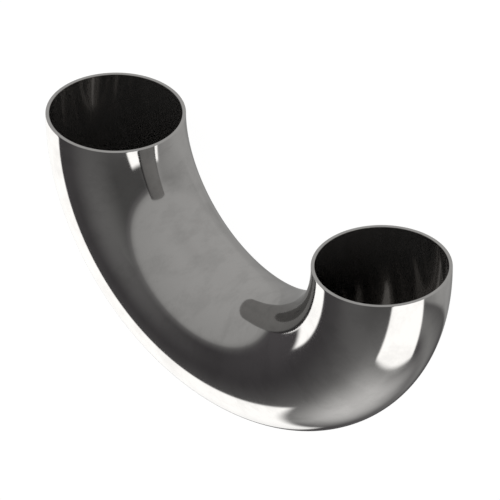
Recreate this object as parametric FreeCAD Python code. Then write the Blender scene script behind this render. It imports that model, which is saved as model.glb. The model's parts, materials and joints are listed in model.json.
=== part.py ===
"""Half-turn pipe bend for butt welding, made of one piece of thin-walled stainless steel tube.

The bend is a round tube carried along a half circle. Its two ends are cut square with no straight
length left on them, so both round openings lie in one plane and face the same way.

Frame: the bend lies on its side, as it comes to rest on a bench. +Z is up, +X runs along the line
through the two openings, and the openings face -Y. The origin is on the bench, under the middle of
the box that the bend fills. Lengths are in millimetres and angles in degrees.
"""

import FreeCAD
import Part
import math
import os

outside_diameter = 114.3  # over the tube
wall_thickness = 3.0  # the same all round the tube and all along the bend
bend_radius = 152.4  # from the upright axis of the bend to the centre of the tube
bend_angle = 180.0  # the turn from one end to the other
end_edge_radius = 0.3  # rounding left on the corners of both cut ends by deburring

outside_radius = outside_diameter / 2
inside_radius = outside_radius - wall_thickness
upwards = FreeCAD.Vector(0, 0, 1)


def outwards(turn):
    """Unit vector level from the bend's axis towards the tube, at a turn from +Y."""
    angle = math.radians(turn)
    return FreeCAD.Vector(math.sin(angle), math.cos(angle), 0)


def bend_axis_point():
    """The point on the bend's axis that is level with the centre of the tube.

    The tube rests on the bench, and the axis stands where the box around the bend has its middle
    over the origin. The front of that box is the lowest y of the two cut ends.
    """
    lowest_share = math.cos(math.radians(bend_angle / 2))
    back_y = bend_radius + outside_radius
    front_y = min(
        (bend_radius - outside_radius) * lowest_share,
        (bend_radius + outside_radius) * lowest_share,
    )
    return FreeCAD.Vector(0, -(front_y + back_y) / 2, outside_radius)


def end_centre(turn):
    """The centre of the tube in the cut end at that turn."""
    return bend_axis_point() + outwards(turn) * bend_radius


def tube_section(turn):
    """The ring of wall that a square cut leaves at that turn."""
    along = outwards(turn).cross(upwards)
    discs = [
        Part.Face(Part.Wire([Part.makeCircle(radius, end_centre(turn), along)]))
        for radius in (outside_radius, inside_radius)
    ]
    return discs[0].cut(discs[1])


def end_corners(tube):
    """The four round edges where the cut ends meet the outside and the inside of the tube."""
    return [edge for edge in tube.Edges if isinstance(edge.Curve, Part.Circle) and edge.Closed]


def pipe_bend():
    """The ring of one end carried round to the other, with the corners of both ends rounded."""
    first_end = tube_section(bend_angle / 2)
    tube = first_end.revolve(bend_axis_point(), upwards, bend_angle).Solids[0]
    return tube.makeFillet(end_edge_radius, end_corners(tube)).Solids[0]


os.makedirs("parts", exist_ok=True)
bend = pipe_bend()
bend.exportStep("parts/pipe_bend.step")

swept_volume = tube_section(0).Area * bend_radius * math.radians(bend_angle)
box = bend.optimalBoundingBox(False, False)
print(f"pipe_bend is a {bend.ShapeType.lower()}, valid: {bend.isValid()}, faces: {len(bend.Faces)}")
print(f"volume {bend.Volume:.0f} mm3, and {swept_volume:.0f} mm3 before its corners are rounded")
print(f"box {box.XLength:.2f} x {box.YLength:.2f} x {box.ZLength:.2f} mm")
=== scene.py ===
import bmesh
import bpy
import json
import math
from mathutils import Matrix, Vector


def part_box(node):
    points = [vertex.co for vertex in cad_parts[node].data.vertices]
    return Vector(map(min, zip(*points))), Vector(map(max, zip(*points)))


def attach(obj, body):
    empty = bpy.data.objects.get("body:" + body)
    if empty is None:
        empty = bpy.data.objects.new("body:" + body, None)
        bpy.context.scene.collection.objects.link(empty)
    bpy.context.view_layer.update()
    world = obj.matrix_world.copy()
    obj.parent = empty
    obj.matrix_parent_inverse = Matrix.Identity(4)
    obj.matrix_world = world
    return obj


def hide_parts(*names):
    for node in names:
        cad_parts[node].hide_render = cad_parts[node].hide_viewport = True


millimetre = 0.001  # in metres, the unit of the frame and of every object here

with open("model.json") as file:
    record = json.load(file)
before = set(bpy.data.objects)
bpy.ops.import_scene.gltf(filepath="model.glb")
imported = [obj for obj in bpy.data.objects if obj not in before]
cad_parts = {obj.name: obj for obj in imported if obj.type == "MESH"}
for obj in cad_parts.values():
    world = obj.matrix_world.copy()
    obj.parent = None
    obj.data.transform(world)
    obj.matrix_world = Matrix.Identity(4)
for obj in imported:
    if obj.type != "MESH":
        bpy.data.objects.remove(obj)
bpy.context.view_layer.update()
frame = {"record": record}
print("frame loaded")

# The bend's size and place, all read from the frame. Both cut ends lie in one plane and face -Y,
# and the tube's middle line is a level half circle between them. The mount's point is at the top of
# the right end, in the middle of its wall.
weldEnd = next(m for m in frame["record"]["mounts"] if m["name"] == "right_weld_end")
bendRadius, endsY, wallMiddleZ = weldEnd["pos_m"]
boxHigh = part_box("pipe_bend")[1]
tubeRadius = boxHigh.x - bendRadius
wall = 2 * (2 * tubeRadius - wallMiddleZ)
bendCentre = Vector((0, endsY, tubeRadius))


def linearColour(hexCode):
    channels = [int(hexCode[i : i + 2], 16) / 255 for i in (1, 3, 5)]
    return [c / 12.92 if c <= 0.04045 else ((c + 0.055) / 1.055) ** 2.4 for c in channels] + [1]


# Numbers go straight onto a node's sockets, and a link from None is left out.
def addNode(tree, kind, settings=None, inputs=None, links=None):
    node = tree.nodes.new(kind)
    for name, value in (settings or {}).items():
        setattr(node, name, value)
    for name, value in (inputs or {}).items():
        node.inputs[name].default_value = value
    for name, socket in (links or {}).items():
        if socket is not None:
            tree.links.new(socket, node.inputs[name])
    return node


def newMaterial(name):
    material = bpy.data.materials.new(name)
    material.use_nodes = True
    material.node_tree.nodes.clear()
    return material, material.node_tree


# Stainless steel tube, 1.4301. Outside it is polished to a mirror, and its colour is a little darker in
# soft clouds.
mirrorSteel = {
    "name": "mirrorPolishedStainless",
    "colours": ("#aaa9a8", "#b2b1b0"),  # in the clouds and between them
    "metallic": 1.0,
    "edgeTint": 0.78,  # keeps the glancing edges no brighter than the rest
    "roughness": 0.07,
    "cloudSize": (24, 30),  # mm, along the tube and round it
}

# Inside it isn't polished. Its dull grey skin takes some of the mirror away, and drawing left faint
# marks along it. Real marks are much finer, and these are as coarse as they need to be to show.
drawnSteel = {
    "name": "drawnPickledStainless",
    "colours": ("#959391", "#a19f9d"),
    "metallic": 0.885,
    "edgeTint": 0.78,
    "roughness": 0.08,
    "cloudSize": (80, 6),
}

# The clouds of both finishes are noise, and the first colour turns to the second between these two
# of its values.
cloudNoise = {
    "detail": 5.0,
    "roughness": 0.7,
    "turnsBetween": (0.34, 0.58),
}


# The noise follows the tube. It is laid out by the turn about the bend's axis, the way out from
# that axis and the height.
def steel(finish):
    material, tree = newMaterial(finish["name"])
    fromCentre = addNode(
        tree,
        "ShaderNodeMapping",
        settings={"vector_type": "TEXTURE"},
        inputs={"Location": bendCentre},
        links={"Vector": addNode(tree, "ShaderNodeTexCoord").outputs["Object"]},
    )
    x, y, z = addNode(tree, "ShaderNodeSeparateXYZ", links={0: fromCentre.outputs[0]}).outputs
    turn = addNode(tree, "ShaderNodeMath", settings={"operation": "ARCTAN2"}, links={0: y, 1: x})
    level = addNode(tree, "ShaderNodeCombineXYZ", links={0: x, 1: y})
    out = addNode(
        tree, "ShaderNodeVectorMath", settings={"operation": "LENGTH"}, links={0: level.outputs[0]}
    )
    route = addNode(
        tree, "ShaderNodeCombineXYZ", links={0: turn.outputs[0], 1: out.outputs["Value"], 2: z}
    )
    along, around = (size * millimetre for size in finish["cloudSize"])
    stretched = addNode(
        tree,
        "ShaderNodeMapping",
        inputs={"Scale": (bendRadius / along, 1 / around, 1 / around)},
        links={"Vector": route.outputs[0]},
    )
    clouds = addNode(
        tree,
        "ShaderNodeTexNoise",
        inputs={"Scale": 1.0, "Detail": cloudNoise["detail"], "Roughness": cloudNoise["roughness"]},
        links={"Vector": stretched.outputs[0]},
    )
    first, last = cloudNoise["turnsBetween"]
    between = addNode(
        tree,
        "ShaderNodeMapRange",
        settings={"interpolation_type": "SMOOTHSTEP"},
        inputs={"From Min": first, "From Max": last},
        links={"Value": clouds.outputs["Fac"]},
    )
    cloudy, clear = (linearColour(code) for code in finish["colours"])
    colour = addNode(
        tree,
        "ShaderNodeMix",
        settings={"data_type": "RGBA"},
        inputs={6: cloudy, 7: clear},
        links={0: between.outputs[0]},
    )
    shader = addNode(
        tree,
        "ShaderNodeBsdfPrincipled",
        inputs={
            "Metallic": finish["metallic"],
            "Roughness": finish["roughness"],
            "Specular Tint": [finish["edgeTint"]] * 3 + [1],
        },
        links={"Base Color": colour.outputs[2]},
    )
    addNode(tree, "ShaderNodeOutputMaterial", links={"Surface": shader.outputs[0]})
    return material


# The bend's mesh: the ring of one cut end, carried round the half turn.
bendMesh = {
    "roundTube": 144,  # faces round the tube
    "alongBend": 240,  # faces from one end to the other
    "endSupport": 1.0,  # mm, from the last loop to the cut, so that the polish stays smooth up to it
    "cornerAngle": 60,  # degrees, and only the cut ends' corners are sharper
    "deburring": 0.3,  # mm, rounding of those corners
    "deburringSteps": 3,
}


def fromMiddleLine(point):
    offset = point - bendCentre
    return math.hypot(math.hypot(offset.x, offset.y) - bendRadius, offset.z)


def pipeBend():
    bm = bmesh.new()
    endCentre = bendCentre + Vector((bendRadius, 0, 0))
    upright = Matrix.Translation(endCentre) @ Matrix.Rotation(math.pi / 2, 4, "X")
    bmesh.ops.create_circle(bm, segments=bendMesh["roundTube"], radius=tubeRadius, matrix=upright)
    cutEnd = bmesh.ops.extrude_edge_only(bm, edges=bm.edges[:])["geom"]
    inner = [part for part in cutEnd if isinstance(part, bmesh.types.BMVert)]
    bmesh.ops.scale(bm, verts=inner, vec=[1 - wall / tubeRadius] * 3, space=upright.inverted())
    bmesh.ops.spin(
        bm,
        geom=bm.verts[:] + bm.edges[:] + bm.faces[:],
        cent=bendCentre,
        axis=(0, 0, 1),
        angle=math.pi,
        steps=bendMesh["alongBend"],
    )
    bmesh.ops.recalc_face_normals(bm, faces=bm.faces[:])
    bmesh.ops.bisect_plane(
        bm,
        geom=bm.verts[:] + bm.edges[:] + bm.faces[:],
        plane_co=(0, endsY + bendMesh["endSupport"] * millimetre, 0),
        plane_no=(0, 1, 0),
    )
    sharp = math.radians(bendMesh["cornerAngle"])
    bmesh.ops.bevel(
        bm,
        geom=[edge for edge in bm.edges if edge.calc_face_angle(0) > sharp],
        affect="EDGES",
        offset=bendMesh["deburring"] * millimetre,
        offset_type="OFFSET",
        segments=bendMesh["deburringSteps"],
        profile=0.5,
        material=-1,
    )
    boreRadius = tubeRadius - wall + bendMesh["deburring"] * millimetre  # with the rounding at its mouth
    for face in bm.faces:
        face.smooth = True
        if fromMiddleLine(face.calc_center_median()) < boreRadius:
            face.material_index = 1  # the drawn steel, added second below
    mesh = bpy.data.meshes.new("pipeBend")
    bm.to_mesh(mesh)
    bm.free()
    piece = bpy.data.objects.new("pipeBend", mesh)
    bpy.context.scene.collection.objects.link(piece)
    piece.modifiers.new("flatCutEnds", "WEIGHTED_NORMAL").mode = "FACE_AREA"
    mesh.materials.append(steel(mirrorSteel))
    mesh.materials.append(steel(drawnSteel))
    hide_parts("pipe_bend")
    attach(piece, "root")
    return piece


bend = pipeBend()
print("bend modelled,", len(bend.data.polygons), "faces")

# The floor is a plain white sheet, far larger than the picture.
whiteFloor = {
    "colour": "#f4f3f1",
    "roughness": 0.6,
    "radius": 6000,  # mm
    "sides": 96,
    "ownShare": 0.8,  # how much of what the eye sees is plain white, so that the shadow stays faint
    "ownWhite": 1.2,  # strength of that white
}


def floorSheet():
    bm = bmesh.new()
    radius = whiteFloor["radius"] * millimetre
    bmesh.ops.create_circle(bm, cap_ends=True, segments=whiteFloor["sides"], radius=radius)
    mesh = bpy.data.meshes.new("floorSheet")
    bm.to_mesh(mesh)
    bm.free()
    sheet = bpy.data.objects.new("floorSheet", mesh)
    bpy.context.scene.collection.objects.link(sheet)
    material, tree = newMaterial("whiteMattFloor")
    paint = addNode(
        tree,
        "ShaderNodeBsdfPrincipled",
        inputs={"Base Color": linearColour(whiteFloor["colour"]), "Roughness": whiteFloor["roughness"]},
    )
    white = addNode(tree, "ShaderNodeEmission", inputs={"Strength": whiteFloor["ownWhite"]})
    ray = addNode(tree, "ShaderNodeLightPath").outputs
    seen = ray["Is Camera Ray"]
    for way in ("Is Glossy Ray", "Is Transmission Ray"):
        seen = addNode(
            tree, "ShaderNodeMath", settings={"operation": "ADD"}, links={0: seen, 1: ray[way]}
        ).outputs[0]
    share = addNode(
        tree,
        "ShaderNodeMath",
        settings={"operation": "MULTIPLY"},
        inputs={1: whiteFloor["ownShare"]},
        links={0: seen},
    )
    surface = addNode(
        tree,
        "ShaderNodeMixShader",
        links={0: share.outputs[0], 1: paint.outputs[0], 2: white.outputs[0]},
    )
    addNode(tree, "ShaderNodeOutputMaterial", links={"Surface": surface.outputs[0]})
    mesh.materials.append(material)
    sheet.visible_glossy = False  # the mirror shows the studio all round it


floorSheet()
print("floor laid")

# The studio that the mirror shows, painted by direction from the bend. Each layer covers those
# before it as strongly as all its limits allow: a limit rises smoothly from nothing at its first
# value to the whole at its second. A turn is in degrees from the side that the openings face, by
# way of +X, and a height is in degrees above the bench. The other measures say how far the
# direction goes along a vector. A level of 1 is white. The softbox on the +X side grows dimmer
# towards its lower edge.
studio = {
    "lightColour": "#fffefc",
    "darkWallColour": "#fff8fd",  # faintly violet
    "walls": 0.487,  # the level under the first layer
    "along": {
        "open": (0, -0.8, -0.6),  # away from the dark wall and down
        "frontal": (0, -1, -0.143),  # away from it and nearly level
        "overhead": (0, 0.226, 1),
        "sill": (0.6, 0.055, 0.8),  # square to the plane through the +X softbox's lower edge
        "heel": (-0.178, 0, 1),  # the same for its lower corner
        "plusTop": (-0.269, -0.269, 0.925),  # the same for its top edge
        "minusTop": (0.276, -0.272, 0.922),  # the same for the -X softbox's top edge
        "minusSill": (-0.274, 0.269, 0.923),  # the same for the -X softbox's lower edge
    },
    "layers": [
        {"name": "pale walls", "level": 0.64, "limits": [("open", -1, 1)]},
        {
            "name": "shade on the -X side",
            "level": 0.483,
            "limits": [("turn", 235, 270), ("turn", 287, 273), ("height", -72, -38), ("height", 6, -47)],
        },
        {
            "name": "pale floor in front",
            "level": 0.67,
            "limits": [("frontal", 0.164, 0.296), ("minusSill", -0.611, -1.025)],
        },
        {
            "name": "dim floor below",
            "level": 0.527,
            "limits": [("frontal", 0.383, -0.304), ("frontal", -0.435, -0.043), ("height", -33, -46)],
        },
        {
            "name": "pale floor behind",
            "level": 0.623,
            "limits": [("turn", 121, 173), ("turn", 241, 206), ("height", -38, -43)],
        },
        {
            "name": "dim floor under the softbox",
            "level": 0.384,
            "limits": [("turn", 172, 144), ("turn", 100, 125), ("height", -61, -46)],
        },
        {
            "name": "dimmer beside the dark wall",
            "level": 0.33,
            "limits": [("frontal", 0.091, 0.035), ("height", -62, 17)],
        },
        {
            "name": "dark wall behind",
            "level": 0.079,
            "colour": "darkWallColour",
            "limits": [("frontal", 0.182, -0.116), ("height", 0, 4)],
        },
        {
            "name": "-X part of the dark wall",
            "level": 0.122,
            "limits": [("turn", 113, 290), ("frontal", -0.018, -0.047), ("height", 0, 4)],
        },
        {
            "name": "+X end of the dark wall",
            "level": 0.129,
            "colour": "darkWallColour",
            "limits": [
                ("turn", 136, 99),
                ("frontal", 0.031, -0.004),
                ("height", 0, 4),
                ("height", 67, -1),
            ],
        },
        {"name": "ceiling", "level": 0.348, "limits": [("overhead", 0.766, 1.275)]},
        {
            "name": "haze on the dark wall",
            "level": 0.4,
            "limits": [("turn", 121, 192), ("turn", 251, 173), ("height", 63, 14), ("height", -24, -18)],
        },
        {
            "name": "foot of the dark wall",
            "level": 0.084,
            "colour": "darkWallColour",
            "limits": [("frontal", -0.527, -0.555), ("height", 1, -10)],
        },
        {
            "name": "pale strip along the foot",
            "level": 0.345,
            "limits": [
                ("frontal", -0.467, -0.679),
                ("frontal", -0.791, -0.671),
                ("height", -15, -25),
                ("turn", 138, 177),
            ],
        },
        {
            "name": "glow between the softboxes",
            "level": 1.1,
            "limits": [
                ("turn", 152, 175.5),
                ("turn", 208.5, 183),
                ("height", 36, 0.5),
                ("height", -45, -4),
            ],
        },
        {
            "name": "low reflector beside the softbox",
            "level": 2.2,
            "limits": [("turn", 98, 103), ("turn", 116, 112), ("height", 5, 3.5), ("height", -14, -8)],
        },
        {
            "name": "spill beside the softbox",
            "level": 0.6,
            "limits": [("turn", 195.7, 200.2), ("height", 12.5, -8.8), ("height", -26.8, -6.6)],
        },
        {
            "name": "softbox on the +X side",
            "level": 2.34,
            "limits": [
                ("turn", 111, 115),
                ("turn", 159, 155),
                ("plusTop", 0.013, -0.035),
                ("heel", -0.641, -0.592),
                ("height", -61, 0),
                ("sill", -0.02, 0.04),
            ],
        },
        {
            "name": "softbox on the -X side",
            "level": 2.32,
            "limits": [
                ("turn", 200.4, 204.9),
                ("turn", 251.3, 245.5),
                ("minusTop", 0.018, -0.03),
                ("minusSill", -0.018, 0.03),
            ],
        },
    ],
}


def lightOf(colour, level):
    return [channel * level for channel in linearColour(studio[colour])[:3]] + [1]


def studioWorld():
    world = bpy.data.worlds.new("studio")
    bpy.context.scene.world = world
    world.use_nodes = True
    tree = world.node_tree
    tree.nodes.clear()
    direction = addNode(tree, "ShaderNodeTexCoord").outputs["Generated"]
    x, y, z = addNode(tree, "ShaderNodeSeparateXYZ", links={0: direction}).outputs
    fromBack = addNode(tree, "ShaderNodeMath", settings={"operation": "ARCTAN2"}, links={0: x, 1: y})
    upwards = addNode(tree, "ShaderNodeMath", settings={"operation": "ARCSINE"}, links={0: z})
    turn, height = (
        addNode(
            tree,
            "ShaderNodeMath",
            settings={"operation": "MULTIPLY_ADD"},
            inputs={1: way * math.degrees(1), 2: start},
            links={0: angle.outputs[0]},
        )
        for angle, way, start in ((fromBack, -1, 180), (upwards, 1, 0))
    )
    measures = {"turn": turn.outputs[0], "height": height.outputs[0]}
    for name, vector in studio["along"].items():
        measures[name] = addNode(
            tree,
            "ShaderNodeVectorMath",
            settings={"operation": "DOT_PRODUCT"},
            inputs={1: vector},
            links={0: direction},
        ).outputs["Value"]

    walls = lightOf("lightColour", studio["walls"])
    light = None
    for layer in studio["layers"]:
        cover = None  # each limit lets through a share of what the limits before it let through
        for measure, nothing, whole in layer["limits"]:
            cover = addNode(
                tree,
                "ShaderNodeMapRange",
                settings={"interpolation_type": "SMOOTHSTEP"},
                inputs={"From Min": nothing, "From Max": whole},
                links={"Value": measures[measure], "To Max": cover},
            ).outputs[0]
        paint = lightOf(layer.get("colour", "lightColour"), layer["level"])
        light = addNode(
            tree,
            "ShaderNodeMix",
            settings={"data_type": "RGBA", "label": layer["name"]},
            inputs={6: walls, 7: paint},
            links={0: cover, 6: light},
        ).outputs[2]
    background = addNode(tree, "ShaderNodeBackground", links={"Color": light})
    addNode(tree, "ShaderNodeOutputWorld", links={"Surface": background.outputs[0]})


studioWorld()
bpy.context.scene.view_settings.view_transform = "Standard"
print("studio built")

# The camera looks down on the lying bend from the side that the photograph shows, and is rolled so
# that the openings point up in the picture as they do there. The photograph's view is a parallel
# one.
photoCamera = {
    "towards": (-1.007, -1.002, 1),  # from the bend to the camera
    "pictureUp": (1.001, -2.004, -1),
    "pictureWidth": 500,  # pixels
    "endsMiddle": (247.54, 188.22),  # pixels, where the point between the two openings shows
    "pixel": 0.808,  # mm on the bend
    "lens": 1500,  # mm, so long that near and far parts show at almost one scale
}


def camera():
    towards = Vector(photoCamera["towards"]).normalized()
    pictureRight = Vector(photoCamera["pictureUp"]).cross(towards).normalized()
    pictureUp = towards.cross(pictureRight)
    pixel = photoCamera["pixel"] * millimetre
    middle = (photoCamera["pictureWidth"] - 1) / 2
    column, row = photoCamera["endsMiddle"]
    aim = bendCentre + pictureRight * (middle - column) * pixel - pictureUp * (middle - row) * pixel
    data = bpy.data.cameras.new("camera")
    data.lens = photoCamera["lens"]
    distance = photoCamera["pictureWidth"] * pixel * data.lens / data.sensor_width
    data.clip_end = distance + 2 * whiteFloor["radius"] * millimetre
    cam = bpy.data.objects.new("camera", data)
    turned = Matrix((pictureRight, pictureUp, towards)).transposed()
    cam.matrix_world = Matrix.Translation(aim + towards * distance) @ turned.to_4x4()
    bpy.context.scene.collection.objects.link(cam)
    bpy.context.scene.camera = cam


camera()
print("camera placed")
